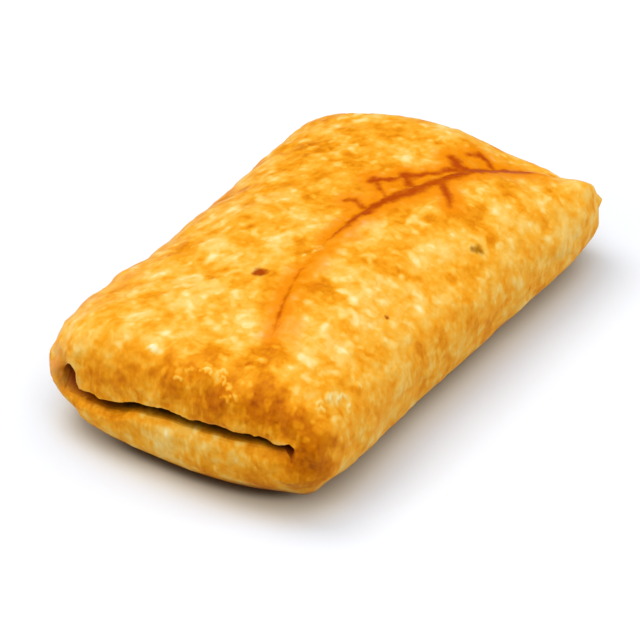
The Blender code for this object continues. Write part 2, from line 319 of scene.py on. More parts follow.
def cut_flat_underside(skin):
    """Cuts the flat underside's long triangles into cells."""
    for across in (Vector((1.0, 0.0, 0.0)), Vector((0.0, 1.0, 0.0))):
        for i in range(-FLAT_CELLS_EACH_WAY, FLAT_CELLS_EACH_WAY + 1):
            flat = [face for face in skin.faces if all(vert.co.z < FLAT_LIMIT for vert in face.verts)]
            edges = each_once(edge for face in flat for edge in face.edges)
            verts = each_once(vert for face in flat for vert in face.verts)
            geometry = flat + edges + verts
            bmesh.ops.bisect_plane(skin, geom=geometry, plane_co=across * i * FLAT_CELL, plane_no=across)


def quads_of(node):
    skin = bmesh.new()
    skin.from_mesh(node.data)
    bmesh.ops.remove_doubles(skin, verts=skin.verts, dist=MERGE)
    cut_flat_underside(skin)
    bmesh.ops.join_triangles(
        skin,
        faces=skin.faces,
        angle_face_threshold=QUAD_LEVEL,
        angle_shape_threshold=QUAD_SQUARE,
    )
    skin.verts.index_update()
    return skin


coarse = quads_of(puff_node)
print("coarse skin:", len(coarse.faces), "faces")

# %% [markdown]
# Subdivision Surface rounds by pulling points inwards, so a thin fold comes out thinner. To keep the size,
# the coarse skin is subdivided once as a trial, and each of its points is moved the other way by nearly as
# much as the trial pulled it in. The second, real subdivision then passes close by the model's own points.

# %% Round it with one level of Subdivision Surface
HELD_SHARE = 0.9


def subdivided(surface):
    """The surface after one level of Subdivision Surface. Its first points are the surface's own."""
    mesh = bpy.data.meshes.new("coarse_skin")
    surface.to_mesh(mesh)
    holder = add_to_scene("coarse_skin", mesh)
    modifier = holder.modifiers.new("round", "SUBSURF")
    modifier.levels = 1
    modifier.render_levels = 1
    result = bmesh.new()
    result.from_object(holder, bpy.context.evaluated_depsgraph_get())
    bpy.data.objects.remove(holder)
    bpy.data.meshes.remove(mesh)
    return result


def hold_size(surface):
    """Moves each point out by nearly as much as the subdivision will pull it in."""
    trial = subdivided(surface)
    trial.verts.ensure_lookup_table()
    pulls = [trial.verts[vert.index].co - vert.co for vert in surface.verts]
    trial.free()
    for vert, pull in zip(surface.verts, pulls):
        vert.co -= HELD_SHARE * pull
    return max(pull.length for pull in pulls)


largest_pull = hold_size(coarse)
skin = subdivided(coarse)
coarse.free()
print("rounded skin:", len(skin.faces), "faces, largest pull in mm:", round(largest_pull / MM, 2))

# %% [markdown]
# ## Where things are on the puff
# The relief and the colours both need to know where a point lies: how far inside the flap's edge, how
# steep, how deep in a slit. Each of these is a small function that returns a number, so that one
# description serves the mesh and the material alike.

# %% Small tools for soft shapes


def ramp(low, high, value):
    """0 up to low, 1 from high on, and a soft slope between them."""
    share = min(max((value - low) / (high - low), 0.0), 1.0)
    return share * share * (3.0 - 2.0 * share)


def bump(distance, radius):
    """1 at the middle of a soft round bump and 0 from its rim on."""
    share = min(distance / radius, 1.0)
    return (1.0 - share * share) ** 2


def line_in_mm(*places):
    return [Vector(place) * MM for place in places]


def share_along(point, start, stop):
    """Where on the way from start to stop the place nearest to a point lies, from 0 to 1."""
    way = stop - start
    return min(max((point - start).dot(way) / way.length_squared, 0.0), 1.0)


def distance_to_line(point, line):
    """The distance from a point to a line of several straight parts."""
    return min(
        (point - start.lerp(stop, share_along(point, start, stop))).length
        for start, stop in zip(line, line[1:])
    )


def strongest_of(point, places):
    """How strongly the places act on a point, from 0 to 1. Each has a reach and a strength."""
    return max(
        strength * bump((point - Vector(place) * MM).length, reach * MM) for place, reach, strength in places
    )


def along_x(point, steps):
    """A strength that changes along the puff. Each step has its X in millimetres and its strength."""
    x = point.x / MM
    for (start, first), (stop, last) in zip(steps, steps[1:]):
        if start <= x <= stop:
            return first + (last - first) * (x - start) / (stop - start)
    return 0.0


# %% The flap's edge
FLAP_RADIUS = 104.7 * MM
FLAP_CENTRE = Vector((-1.6, -109.2)) * MM
FLAP_FACES = (0.15, 0.6)  # the Z of a face's normal, from where the edge begins to show to fully
NO_FLAP = -99.0  # stands for "far outside the edge", in millimetres, where the edge doesn't show
# How high the edge stands and how strongly the dough beside it is scorched, both along X.
EDGE_STANDS = ((-54.0, 0.0), (-44.0, 0.3), (-14.0, 0.35), (4.0, 0.3), (50.0, 0.25), (58.0, 0.0))
EDGE_SCORCH = ((-52.0, 0.0), (-42.0, 0.6), (-20.0, 0.7), (-10.0, 0.6), (2.0, 1.0), (46.0, 1.0), (60.0, 0.5))


def flap_inside(point):
    """How far a point lies inside the flap's edge. Outside it this is less than 0."""
    return FLAP_RADIUS - math.hypot(point.x - FLAP_CENTRE.x, point.y - FLAP_CENTRE.y)


def flap_shown(normal):
    """1 on the top, where the flap's edge shows, and 0 on the sides."""
    return ramp(*FLAP_FACES, normal.z)


# %% Burnt lines, spots and thin edges
# Seen from above: each burnt line is a list of x, y and half its width there, all in millimetres. The
# first one follows the flap's edge, and the last one is its faint start. The others branch off it like
# rungs of a ladder. Noise widens the lines later, so even half a width below 0 shows in places.
BURNT_LINES = (
    (
        (-6.0, -4.3, 0.3),
        (3.8, -5.0, 1.4),
        (13.5, -5.8, 2.0),
        (20.4, -8.4, 1.7),
        (30.7, -11.7, 1.7),
        (41.3, -14.6, 2.0),
        (47.2, -17.0, 1.9),
        (53.0, -19.9, 1.9),
        (57.4, -23.8, 1.0),
    ),
    ((23.7, 1.7, 1.6), (25.4, -1.4, 0.7), (28.4, -3.1, 0.8), (30.4, -3.6, 1.8)),
    ((30.4, -3.6, 1.8), (32.6, -6.3, 0.8), (38.7, -9.8, 1.2), (42.8, -12.6, 2.0)),
    ((30.0, -3.3, 1.6), (27.9, -5.7, 0.9), (25.9, -8.9, 1.4)),
    ((23.6, 0.7, 1.2), (20.7, -1.7, 0.3), (17.6, -5.8, 0.5)),
    ((12.0, 1.9, 1.1), (12.2, 0.3, 1.3), (11.5, -2.5, 0.8), (10.5, -4.9, 1.2)),
    ((32.2, -12.5, 1.3), (30.6, -14.6, 1.1), (27.3, -17.8, 0.9), (24.8, -20.2, 0.5)),
    ((46.0, -7.2, 1.2), (43.4, -11.1, 1.8), (42.8, -12.6, 1.8)),
    ((51.4, -9.9, 0.9), (53.7, -11.5, 1.1), (53.4, -14.1, 0.6), (51.6, -16.4, 0.5)),
    ((-20.2, -5.3, -0.1), (-28.0, -7.4, 0.2), (-36.0, -10.2, 0.2), (-45.4, -13.9, 0.1)),
)
BURNT_X = (-52.0 * MM, 64.0 * MM)
BURNT_Y = (-28.0 * MM, 8.0 * MM)
BURNT_FACES_UP = 0.3
BURNT_FAR = 99.0  # millimetres outside a line, where there is none
# Scorched spots: the place, the reach and the strength.
SPOTS = (
    ((-26.9, 2.2, 34.0), 3.2, 1.0),
    ((-25.6, 1.2, 34.0), 2.2, 0.8),
    ((-34.1, 11.1, 33.5), 2.2, 0.6),
    ((-19.9, -29.4, 28.9), 1.1, 0.9),
)
# Where one dark fleck of herb shows through the dough.
HERBS = (((17.6, -32.3, 27.8), 2.8, 0.9), ((16.4, -31.4, 28.2), 1.9, 0.8))
# The lower edge of the upper lip, from the left end of the near slit to its right end.
LIP_EDGE = line_in_mm(
    (-67.0, 30.6, 20.5),
    (-67.6, 28.0, 19.1),
    (-67.8, 26.4, 16.2),
    (-67.9, 26.0, 14.1),
    (-68.3, 20.0, 14.4),
    (-68.5, 15.0, 15.9),
    (-68.7, 10.0, 17.9),
    (-68.8, 0.0, 19.8),
    (-68.7, -10.0, 20.7),
    (-68.1, -20.0, 21.6),
    (-67.1, -28.0, 21.7),
    (-66.5, -32.4, 21.5),
)
NEAR_LIP = 8.0 * MM


def past_burnt(point, normal):
    """How many millimetres a point lies outside the nearest burnt line. Inside one this is less than 0."""
    beside = BURNT_X[0] < point.x < BURNT_X[1] and BURNT_Y[0] < point.y < BURNT_Y[1]
    if not beside or normal.z < BURNT_FACES_UP:
        return BURNT_FAR
    flat = point.xy / MM
    best = BURNT_FAR
    for line in BURNT_LINES:
        for first, last in zip(line, line[1:]):
            start, stop = Vector(first[:2]), Vector(last[:2])
            share = share_along(flat, start, stop)
            half_width = first[2] + (last[2] - first[2]) * share
            best = min(best, (flat - start.lerp(stop, share)).length - half_width)
    return best


def off_lip_edge(point):
    """The distance to the upper lip's lower edge, up to the limit that is of use here."""
    if point.x > LIP_EDGE[0].x + NEAR_LIP:
        return NEAR_LIP
    return min(distance_to_line(point, LIP_EDGE), NEAR_LIP)


print("burnt lines:", len(BURNT_LINES), "and spots:", len(SPOTS))

# %% [markdown]
# ## Softening the folds
# In the solid the slit's ends are cut sharply. Real dough closes softly there. On the left a hollow opens
# behind the end of the upper lip: it starts with no depth at the pocket's rim and gets deeper towards the
# lip. A few small moves first shape the ear at the far corner and the edges of the lips. Then what lies
# deeper in the hollow than it should is brought forward, its rim sinks in a little, and both ends are
# smoothed while the lip's own edge stays crisp.

# %% Bring the hollow forward and smooth the ends of the slit
HOLLOW_Y = (10.0 * MM, 36.0 * MM)
HOLLOW_Z = (11.2 * MM, 21.6 * MM)
HOLLOW_INSIDE_X = -54.0 * MM
HOLLOW_RIM_X = -68.2 * MM
HOLLOW_RIM_LEAN = 0.28
HOLLOW_DEEPEST_Y = 26.5 * MM
HOLLOW_DEEP_FROM_Z = 16.5 * MM
HOLLOW_DEPTH = 4.4 * MM
SLIT_DEPTH = 6.0 * MM
# What is brought forward stays between the rims, or it would come to lie under them.
FOLD_Y = (-33.4 * MM, 31.2 * MM)
# The pocket's rim sinks in by the same rule beside the hollow.
RIM_FROM_Y = 30.9 * MM
RIM_FADES_Y = (31.0 * MM, 34.0 * MM)
RIM_FADES_Z = (18.0 * MM, 22.0 * MM)
# Under the slit's right end the fold comes forward until it is nearly flush.
RIGHT_END_Y = (-34.6 * MM, -29.5 * MM)
RIGHT_END_Z = (12.0 * MM, 20.7 * MM)
RIGHT_END_X = -68.5 * MM
RIGHT_END_LEAN = 0.30
# Where the folds are smoothed: the place, the reach and how often.
SOFT_FOLDS = (
    ((-66.6, 32.0, 15.5), 7.0, 16),
    ((-66.8, -33.0, 17.5), 4.4, 12),
)
CRISP_EDGE = 1.0 * MM
SMOOTHING = 0.5
# Small moves of the form: the place, the reach and the move.
PUSHES = (
    ((65.0, -30.5, 23.5), 7.5, (0.0, 0.3, -0.8)),
    ((66.0, -38.3, 21.8), 3.5, (0.4, -0.7, 0.9)),
    ((67.0, -39.5, 17.9), 3.0, (0.6, -0.9, 0.2)),
    ((-57.0, -39.0, 8.7), 7.0, (0.0, 0.6, 0.4)),
    ((-61.5, -34.0, 6.5), 6.0, (-0.4, -0.5, -0.5)),
    ((-68.0, 31.0, 8.5), 8.0, (0.9, -0.4, 0.5)),
    ((-64.0, 37.5, 16.0), 6.0, (-0.5, 0.7, 0.0)),
    ((-47.0, 37.5, 24.5), 7.0, (0.0, 0.6, 0.7)),
    ((-33.0, 36.0, 26.0), 7.0, (0.0, 0.5, 0.6)),
    ((-67.5, 34.5, 14.0), 6.0, (-0.6, 0.7, 0.0)),
    ((-67.9, 26.0, 14.6), 4.5, (0.0, 1.6, -0.9)),
    ((-67.8, 17.0, 16.5), 8.5, (0.0, 0.0, -1.6)),
    ((-68.5, 6.0, 19.0), 8.0, (0.0, 0.0, -0.5)),
    ((-66.5, -29.0, 23.5), 5.0, (0.0, 0.0, -1.0)),
    ((-67.0, -30.0, 16.5), 4.5, (0.0, 0.0, 1.0)),
    ((-66.0, -32.8, 20.0), 4.5, (0.0, -1.2, 0.9)),
)


def hollow_limit(point):
    """How far in along X the floor of the left hollow lies at that place."""
    rim = HOLLOW_RIM_X + HOLLOW_RIM_LEAN * (point.z - HOLLOW_Z[0])
    in_hollow = 1.0 - ramp(HOLLOW_DEEPEST_Y, HOLLOW_Y[1], point.y)
    in_slit = 1.0 - ramp(HOLLOW_Y[0], HOLLOW_DEEPEST_Y, point.y)
    above_foot = ramp(HOLLOW_Z[0], HOLLOW_DEEP_FROM_Z, point.z)
    return rim + HOLLOW_DEPTH * in_hollow * above_foot + SLIT_DEPTH * in_slit


def right_end_limit(point):
    return RIGHT_END_X + RIGHT_END_LEAN * (point.z - RIGHT_END_Z[0])


def bring_forward(skin, along_y, along_z, limit_at):
    """Moves what lies in a part of the near slit, deeper than the limit there, forward to that limit."""
    moved = 0
    for vert in skin.verts:
        place = vert.co
        within = along_y[0] < place.y < along_y[1] and along_z[0] < place.z < along_z[1]
        if within and limit_at(place) < place.x < HOLLOW_INSIDE_X:
            place.x = limit_at(place)
            place.y = min(max(place.y, FOLD_Y[0]), FOLD_Y[1])
            moved += 1
    return moved


def sink_rim(skin):
    """Moves the pocket's rim beside the hollow in, so that the hollow starts with a soft slope."""
    for vert in skin.verts:
        place = vert.co
        beside = RIM_FROM_Y < place.y < HOLLOW_Y[1] and HOLLOW_Z[0] < place.z < RIM_FADES_Z[1]
        if beside and place.x < hollow_limit(place):
            share = (1.0 - ramp(*RIM_FADES_Z, place.z)) * (1.0 - ramp(*RIM_FADES_Y, place.y))
            place.x += share * (hollow_limit(place) - place.x)


def smooth(skin, verts):
    """Moves each point half of the way to the middle of its neighbours."""
    axes = {"use_axis_x": True, "use_axis_y": True, "use_axis_z": True}
    bmesh.ops.smooth_vert(skin, verts=verts, factor=SMOOTHING, **axes)


def soften_folds(skin):
    for place, reach, times_over in SOFT_FOLDS:
        middle = Vector(place) * MM
        near = [vert for vert in skin.verts if (vert.co - middle).length < reach * MM]
        soft = [vert for vert in near if off_lip_edge(vert.co) > CRISP_EDGE]
        for _ in range(times_over):
            smooth(skin, soft)


def push_places(skin):
    for vert in skin.verts:
        move = Vector((0.0, 0.0, 0.0))
        for place, reach, push in PUSHES:
            move += Vector(push) * MM * bump((vert.co - Vector(place) * MM).length, reach * MM)
        vert.co += move


push_places(skin)
forward = bring_forward(skin, HOLLOW_Y, HOLLOW_Z, hollow_limit)
forward += bring_forward(skin, RIGHT_END_Y, RIGHT_END_Z, right_end_limit)
print("points brought forward:", forward)
sink_rim(skin)
soften_folds(skin)

# %% [markdown]
# ## Dividing the skin where it needs it
# The first division covers all that shows. The second one covers only what has fine forms: the near end
# beside its slit, a band along the flap's edge and the burnt lines.

# %% Divide the skin
SHOWN_ABOVE = 2.0 * MM
SLIT_BOTTOMS = (45.0 * MM, 62.0 * MM)
SLIT_HEIGHTS = (6.0 * MM, 24.0 * MM)
LEVEL_FACE = 0.9
NEAR_END_FROM = -63.5 * MM
FINE_BY_LIP = 4.0 * MM
FINE_BAND = 0.7 * MM
FINE_EDGE = 0.1
FINE_BEYOND_BURNT = 0.4


def divide(skin, wanted):
    """Divides every face for which wanted(middle, normal) holds into four."""
    chosen = [face for face in skin.faces if wanted(face.calc_center_median(), face.normal)]
    edges = each_once(edge for face in chosen for edge in face.edges)
    bmesh.ops.subdivide_edges(skin, edges=edges, cuts=1, use_grid_fill=True)
    skin.normal_update()


def in_a_slit(place, normal):
    between_lips = SLIT_HEIGHTS[0] < place.z < SLIT_HEIGHTS[1] and abs(normal.z) > LEVEL_FACE
    return between_lips and SLIT_BOTTOMS[0] < abs(place.x) < SLIT_BOTTOMS[1]


def shows(place, normal):
    return place.z > SHOWN_ABOVE and not in_a_slit(place, normal)


def is_fine(place, normal):
    if not shows(place, normal):
        return False
    if place.x < NEAR_END_FROM and off_lip_edge(place) < FINE_BY_LIP:
        return True
    edge_stands = flap_shown(normal) * along_x(place, EDGE_STANDS)
    if abs(flap_inside(place)) < FINE_BAND and edge_stands > FINE_EDGE:
        return True
    return past_burnt(place, normal) < FINE_BEYOND_BURNT


skin.normal_update()
divide(skin, shows)
print("after the first division:", len(skin.faces), "faces")
divide(skin, is_fine)
print("after the second division:", len(skin.faces), "faces")
smooth(skin, skin.verts)
skin.normal_update()

# %% [markdown]
# ## The relief of frying
# Steam lifts the dough into blisters while the oil sets it. Large ones are in the model already. Here the
# skin gets the small ones: domes of 2 to 3 mm from a Voronoi pattern, wrinkles from ridged noise, and
# upright streaks where the sheet was pulled down over the sides.

# %% Fine relief as a sum of small patterns
# Vector noise is read at another place in each run unless it is given a seed.
WARP_SEED = 3
noise.seed_set(WARP_SEED)
BLISTER_CELL = 2.9 * MM
BLISTER_RADIUS = 0.62  # as a share of a cell, like the warp
BLISTER_WARP = 0.3
BLISTER_HEIGHT = 0.28 * MM
BLISTER_LOTTERY = 5.3  # how far apart the cells' chances are drawn from the noise
BLISTER_CHANCES = (0.0, 0.35)
CHANCE_IN_PALE = 0.35
WRINKLE_SIZE = 2.5 * MM
WRINKLE_WARP = 0.4
WRINKLE_WARP_SIZE = 5.0 * MM
WRINKLE_SHARPNESS = 3.0
STREAK_SIZE = 1.7 * MM
STREAK_SQUASH = 0.3


def blisters(point, pale):
    """Small domes, most of them in the pale places, from 0 to 1."""
    warped = point / BLISTER_CELL + BLISTER_WARP * noise.noise_vector(point / BLISTER_CELL)
    distances, centres = noise.voronoi(warped)
    chance = noise.noise(centres[0] * BLISTER_LOTTERY) + CHANCE_IN_PALE * pale
    return ramp(*BLISTER_CHANCES, chance) * bump(distances[0], BLISTER_RADIUS)


def wrinkles(point):
    """Thin winding ridges, from 0 to 1."""
    bent = point / WRINKLE_SIZE + WRINKLE_WARP * noise.noise_vector(point / WRINKLE_WARP_SIZE)
    return max(0.0, 1.0 - WRINKLE_SHARPNESS * abs(noise.noise(bent)))


def streaks(point, normal):
    """Upright streaks on the walls, from -1 to 1."""
    upright = Vector((point.x, point.y, point.z * STREAK_SQUASH)) / STREAK_SIZE
    return noise.noise(upright) * (1.0 - abs(normal.z)) ** 2


# %% [markdown]
# Where thin dough tore open in the oil, its edge stands up in small hooks. They gather on the near
# shoulder and at the near right corner, and a few sit on the flap's edge. Each is an arch on the surface,
# open downhill. The largest are listed one by one, and small ones are strewn round them with a fixed seed.

# %% Plant the hooks of torn dough
Hook = namedtuple("Hook", "place across uphill radius")
# The place and the radius of the hook, in millimetres, and its turn in degrees.
LARGE_HOOKS = (
    ((-66.7, -16.9, 28.2), 1.2, 20.0),
    ((-66.9, -14.7, 28.0), 0.9, -25.0),
    ((-63.2, -11.8, 31.3), 1.3, 10.0),
    ((-64.2, -8.0, 31.5), 1.1, -15.0),
    ((-64.9, -4.0, 30.4), 0.8, 30.0),
    ((-66.9, -2.0, 28.5), 0.8, 0.0),
    ((-50.8, -35.7, 25.8), 1.0, 25.0),
    ((-52.5, -34.4, 27.5), 1.0, -10.0),
    ((-49.0, -37.6, 23.7), 0.9, 40.0),
    ((-15.1, -3.4, 33.8), 0.8, 60.0),
    ((-12.6, -3.6, 33.7), 0.9, -50.0),
    ((-10.3, -4.0, 33.9), 0.7, 90.0),
)
# Where small hooks are strewn: the place, how far round it and how many.
HOOKED_PLACES = (
    ((-63.5, -8.0, 31.0), 7.0, 4),
    ((-51.0, -35.0, 26.5), 8.0, 5),
    ((-67.0, 8.0, 27.0), 9.0, 2),
)
HOOK_SEED = 7
HOOK_RADII = (0.6, 1.0)
HOOK_MOST_TURN = 70.0
HOOK_HALF_WIDTH = 0.55 * MM
HOOK_SPAN = 1.9 * MM
HOOK_OPENS = (-0.5, 0.4)  # uphill of the hook's middle, as shares of its radius
HOOK_WARP = 0.5 * MM
HOOK_WARP_SIZE = 1.5 * MM
LEVEL_GROUND = 0.3


def hook_on(tree, place, radius, turn):
    """A hook on the skin nearest to a place."""
    spot, normal, _, _ = tree.find_nearest(Vector(place) * MM)
    uphill = Vector((0.0, 0.0, 1.0)) - normal * normal.z
    if uphill.length < LEVEL_GROUND:
        uphill = Vector((1.0, 0.0, 0.0)) - normal * normal.x
    uphill = Quaternion(normal, math.radians(turn)) @ uphill.normalized()
    return Hook(spot, uphill.cross(normal), uphill, radius * MM)


def plant_hooks(tree):
    chance = random.Random(HOOK_SEED)
    hooks = [hook_on(tree, *settings) for settings in LARGE_HOOKS]
    for place, spread, count in HOOKED_PLACES:
        for _ in range(count):
            beside = [value + chance.uniform(-spread, spread) for value in place]
            turn = chance.uniform(-HOOK_MOST_TURN, HOOK_MOST_TURN)
            hooks.append(hook_on(tree, beside, chance.uniform(*HOOK_RADII), turn))
    finder = KDTree(len(hooks))
    for i, hook in enumerate(hooks):
        finder.insert(hook.place, i)
    finder.balance()
    return hooks, finder


def hook_at(point, hooks, finder):
    """How high a hook stands at that point, from 0 to 1."""
    highest = 0.0
    for _, i, _ in finder.find_range(point, HOOK_SPAN):
        away = point - hooks[i].place + HOOK_WARP * noise.noise_vector(point / HOOK_WARP_SIZE)
        uphill = away.dot(hooks[i].uphill)
        off_ring = math.hypot(away.dot(hooks[i].across), uphill) - hooks[i].radius
        arch = bump(abs(off_ring), HOOK_HALF_WIDTH) * ramp(*HOOK_OPENS, uphill / hooks[i].radius)
        highest = max(highest, arch)
    return highest


hooks, hook_finder = plant_hooks(BVHTree.FromBMesh(skin))
print("hooks of torn dough:", len(hooks))

# %% The flap's crisp edge and the ragged lip
EDGE_HEIGHT = 0.35 * MM
EDGE_RAGGED = 0.5 * MM
EDGE_RAGGED_SIZE = 4.0 * MM
STEP_HALF_WIDTH = 0.35 * MM
STEP_FADES = (0.5 * MM, 5.0 * MM)
GROOVE_OUT = 0.6 * MM
GROOVE_HALF_WIDTH = 0.9 * MM
GROOVE_SHARE = 0.5
LIP_RAGGED = 0.55 * MM
LIP_RAGGED_SIZE = 2.8 * MM
LIP_THREAD_SIZE = 1.2 * MM
LIP_THREAD_SHARE = 0.4
LIP_RAGGED_REACH = 2.4 * MM
# The far slit's lips are wavy too.
FAR_SLIT_X = (60.0 * MM, 66.0 * MM)
FAR_SLIT_HEIGHT = 15.0 * MM
FAR_WAVE = 1.6 * MM
FAR_WAVE_SIZE = 9.0 * MM
FAR_WAVE_REACH = 9.0 * MM


def edge_height(point, normal):
    """A thin step on the model's soft one, with a groove at its foot."""
    ragged = flap_inside(point) + EDGE_RAGGED * noise.noise(point / EDGE_RAGGED_SIZE)
    step = ramp(-STEP_HALF_WIDTH, STEP_HALF_WIDTH, ragged) * (1.0 - ramp(*STEP_FADES, ragged))
    groove = GROOVE_SHARE * bump(abs(ragged + GROOVE_OUT), GROOVE_HALF_WIDTH)
    return EDGE_HEIGHT * (step - groove) * flap_shown(normal) * along_x(point, EDGE_STANDS)


def ragged_lip(point, off_edge):
    """How far the upper lip's edge hangs down or is torn back there."""
    if off_edge > LIP_RAGGED_REACH:
        return 0.0
    tears = noise.noise(point / LIP_RAGGED_SIZE) + LIP_THREAD_SHARE * noise.noise(point / LIP_THREAD_SIZE)
    return LIP_RAGGED * tears * bump(off_edge, LIP_RAGGED_REACH)


def far_wave(point):
    """How far up or down the far slit winds there."""
    share = ramp(*FAR_SLIT_X, point.x) * bump(abs(point.z - FAR_SLIT_HEIGHT), FAR_WAVE_REACH)
    return FAR_WAVE * share * noise.noise(point / FAR_WAVE_SIZE)


# %% Where the crust is browner or paler
# Each place is in millimetres, with its reach and its strength.
BROWN_PLACES = (
    ((-65.0, -36.5, 19.0), 13.0, 1.0),
    ((-63.0, -33.0, 26.0), 11.0, 0.9),
    ((-64.0, -24.0, 28.0), 11.0, 1.0),
    ((-66.5, -13.0, 26.5), 11.0, 0.9),
    ((-66.5, 0.0, 27.0), 11.0, 0.8),
    ((-67.0, 11.0, 25.0), 10.0, 0.6),
    ((-67.5, 20.0, 21.0), 8.0, 0.5),
    ((-69.0, -25.0, 8.0), 7.0, 0.5),
    ((-60.0, -8.0, 32.0), 6.0, 0.4),
    ((-58.0, -17.0, 32.0), 8.0, 0.6),
    ((-50.5, -16.5, 33.0), 6.0, 0.8),
    ((-17.0, 14.0, 33.0), 7.0, 0.4),
    ((-14.0, -3.0, 34.0), 9.0, 0.4),
    ((-24.0, -13.0, 34.0), 7.0, 0.5),
    ((-34.0, -14.0, 34.0), 6.0, 0.4),
    ((25.0, -8.0, 33.5), 24.0, 0.45),
    ((46.0, -14.0, 30.0), 17.0, 0.5),
    ((20.0, 14.0, 32.0), 22.0, 0.4),
    ((33.0, 24.0, 30.5), 9.0, 0.9),
    ((23.0, 25.0, 30.5), 8.0, 0.9),
    ((44.0, 14.0, 28.0), 16.0, 0.3),
)
PALE_PLACES = (
    ((-69.0, -18.0, 12.0), 9.0, 0.5),
    ((-70.0, 2.0, 11.0), 13.0, 0.35),
    ((-48.0, -4.0, 33.0), 10.0, 1.0),
    ((-50.0, 6.0, 33.5), 8.0, 0.8),
    ((-63.0, 5.0, 31.0), 7.0, 0.6),
    ((-20.5, -23.0, 32.0), 10.0, 1.0),
    ((-18.5, -30.0, 28.6), 7.0, 0.9),
    ((-28.0, -24.0, 32.0), 8.0, 0.9),
    ((-35.2, -19.6, 33.4), 6.0, 0.8),
    ((-37.0, -29.0, 30.0), 8.0, 0.8),
    ((-9.0, -29.0, 29.0), 8.0, 0.7),
    ((-14.0, 5.0, 34.0), 7.0, 0.7),
    ((-10.2, 15.9, 33.5), 6.0, 0.7),
    ((-22.4, 16.2, 33.0), 6.0, 0.6),
    ((-38.7, 0.4, 33.8), 6.0, 0.8),
    ((-50.0, -27.0, 31.0), 8.0, 0.9),
    ((-45.6, -21.9, 32.3), 7.0, 0.9),
    ((-46.8, 13.8, 33.4), 8.0, 0.9),
    ((-61.0, 16.0, 32.0), 7.0, 0.6),
    ((-40.0, 17.0, 32.4), 8.0, 0.7),
    ((20.0, -29.0, 29.0), 9.0, 0.6),
    ((35.0, -27.0, 30.0), 8.0, 0.6),
    ((12.3, -17.9, 33.2), 6.0, 0.7),
    ((27.0, 17.0, 32.0), 8.0, 0.5),
    ((38.0, 2.0, 32.0), 5.0, 0.8),
    ((49.5, 22.5, 26.0), 11.0, 1.0),
    ((54.0, 2.0, 27.5), 9.0, 0.7),
)
# The rim of the pocket's left side and the foot of its right corner are mixed towards beige in patches.
BEIGE_PLACES = (
    ((-67.0, -31.0, 3.5), 5.5, 0.7),
    ((-61.0, -39.5, 5.0), 7.0, 0.8),
    ((-64.0, 38.0, 18.0), 13.0, 1.0),
    ((-52.0, 37.0, 25.0), 11.0, 0.9),
    ((-38.0, 37.0, 26.0), 12.0, 0.8),
    ((-20.0, 38.0, 24.0), 14.0, 0.6),
    ((4.0, 39.0, 23.0), 16.0, 0.5),
)
print("pale places:", len(PALE_PLACES))

# %% [markdown]
# ## How sheltered a point is
# The material paints the slits dark by this: painted shade beyond what the lamps give, together with the
# brown that crumbs and oil fry there. How deep a point lies between the folds is measured by sending a fan
# of rays out from it and counting those that soon hit dough again.

# %% Measure shelter with a fan of rays
SHELTER_REACH = 7.0 * MM
SHELTER_START = 0.15 * MM
SHELTER_RAYS = 20
SHELTERED_FROM = 52.0 * MM
# The left hollow gets a red-brown painted shade by its depth.
PIT_DEEP = (0.1 * MM, 2.2 * MM)
PIT_Y = (19.0 * MM, 25.0 * MM)
PIT_FADES_Y = (30.0 * MM, 34.0 * MM)
PIT_FADES_Z = (19.5 * MM, 22.5 * MM)
# Its painted shade spreads a little way onto the rim.
PIT_RIM = Vector((-67.0, 31.5, 17.0)) * MM
PIT_RIM_REACH = 5.5 * MM
PIT_RIM_SHARE = 0.55


def ray_fan(count):
    """Directions spread evenly over the upper half of a sphere."""
    golden = math.pi * (3.0 - math.sqrt(5.0))
    fan = []
    for i in range(count):
        height = 1.0 - (i + 0.5) / count
        wide = math.sqrt(1.0 - height * height)
        fan.append(Vector((math.cos(golden * i) * wide, math.sin(golden * i) * wide, height)))
    return fan


RAYS = ray_fan(SHELTER_RAYS)


def shelter_at(tree, point, normal):
    """The share of the sky over a point that nearby dough hides."""
    if abs(point.x) < SHELTERED_FROM:
        return 0.0
    turn = Vector((0.0, 0.0, 1.0)).rotation_difference(normal)
    start = point + normal * SHELTER_START
    hits = [tree.ray_cast(start, turn @ ray, SHELTER_REACH)[0] is not None for ray in RAYS]
    return sum(hits) / SHELTER_RAYS


def pit_at(point):
    """How deep in the left hollow a point lies, from 0 at the pocket's rim to 1."""
    beside = PIT_RIM_SHARE * bump((point - PIT_RIM).length, PIT_RIM_REACH)
    within = PIT_Y[0] < point.y < PIT_FADES_Y[1] and HOLLOW_Z[0] < point.z < PIT_FADES_Z[1]
    if point.x > HOLLOW_INSIDE_X or not within:
        return beside
    deep = point.x - HOLLOW_RIM_X - HOLLOW_RIM_LEAN * (point.z - HOLLOW_Z[0])
    below_rim = (1.0 - ramp(*PIT_FADES_Y, point.y)) * (1.0 - ramp(*PIT_FADES_Z, point.z))
    return max(beside, ramp(*PIT_DEEP, deep) * ramp(*PIT_Y, point.y) * below_rim)


print("rays in the fan:", len(RAYS))

# %% [markdown]
# ## Raising the relief
# Each point of the skin moves along its own normal. What was worked out on the way is kept on the points
# as named numbers, because the material needs the same places: a blister is paler where it stands up, partly
# as paler dough and partly as a painted highlight on its top.

# %% Raise the relief and keep what the material needs
PLACES = {"spot": SPOTS, "herb": HERBS, "brown": BROWN_PLACES, "pale": PALE_PLACES, "beige": BEIGE_PLACES}
MASKS = (*PLACES, "flap_inside", "scorch", "burnt", "hook", "blister", "shelter", "pit")
MASKS += ("wall", "under", "lip_edge_highlight")
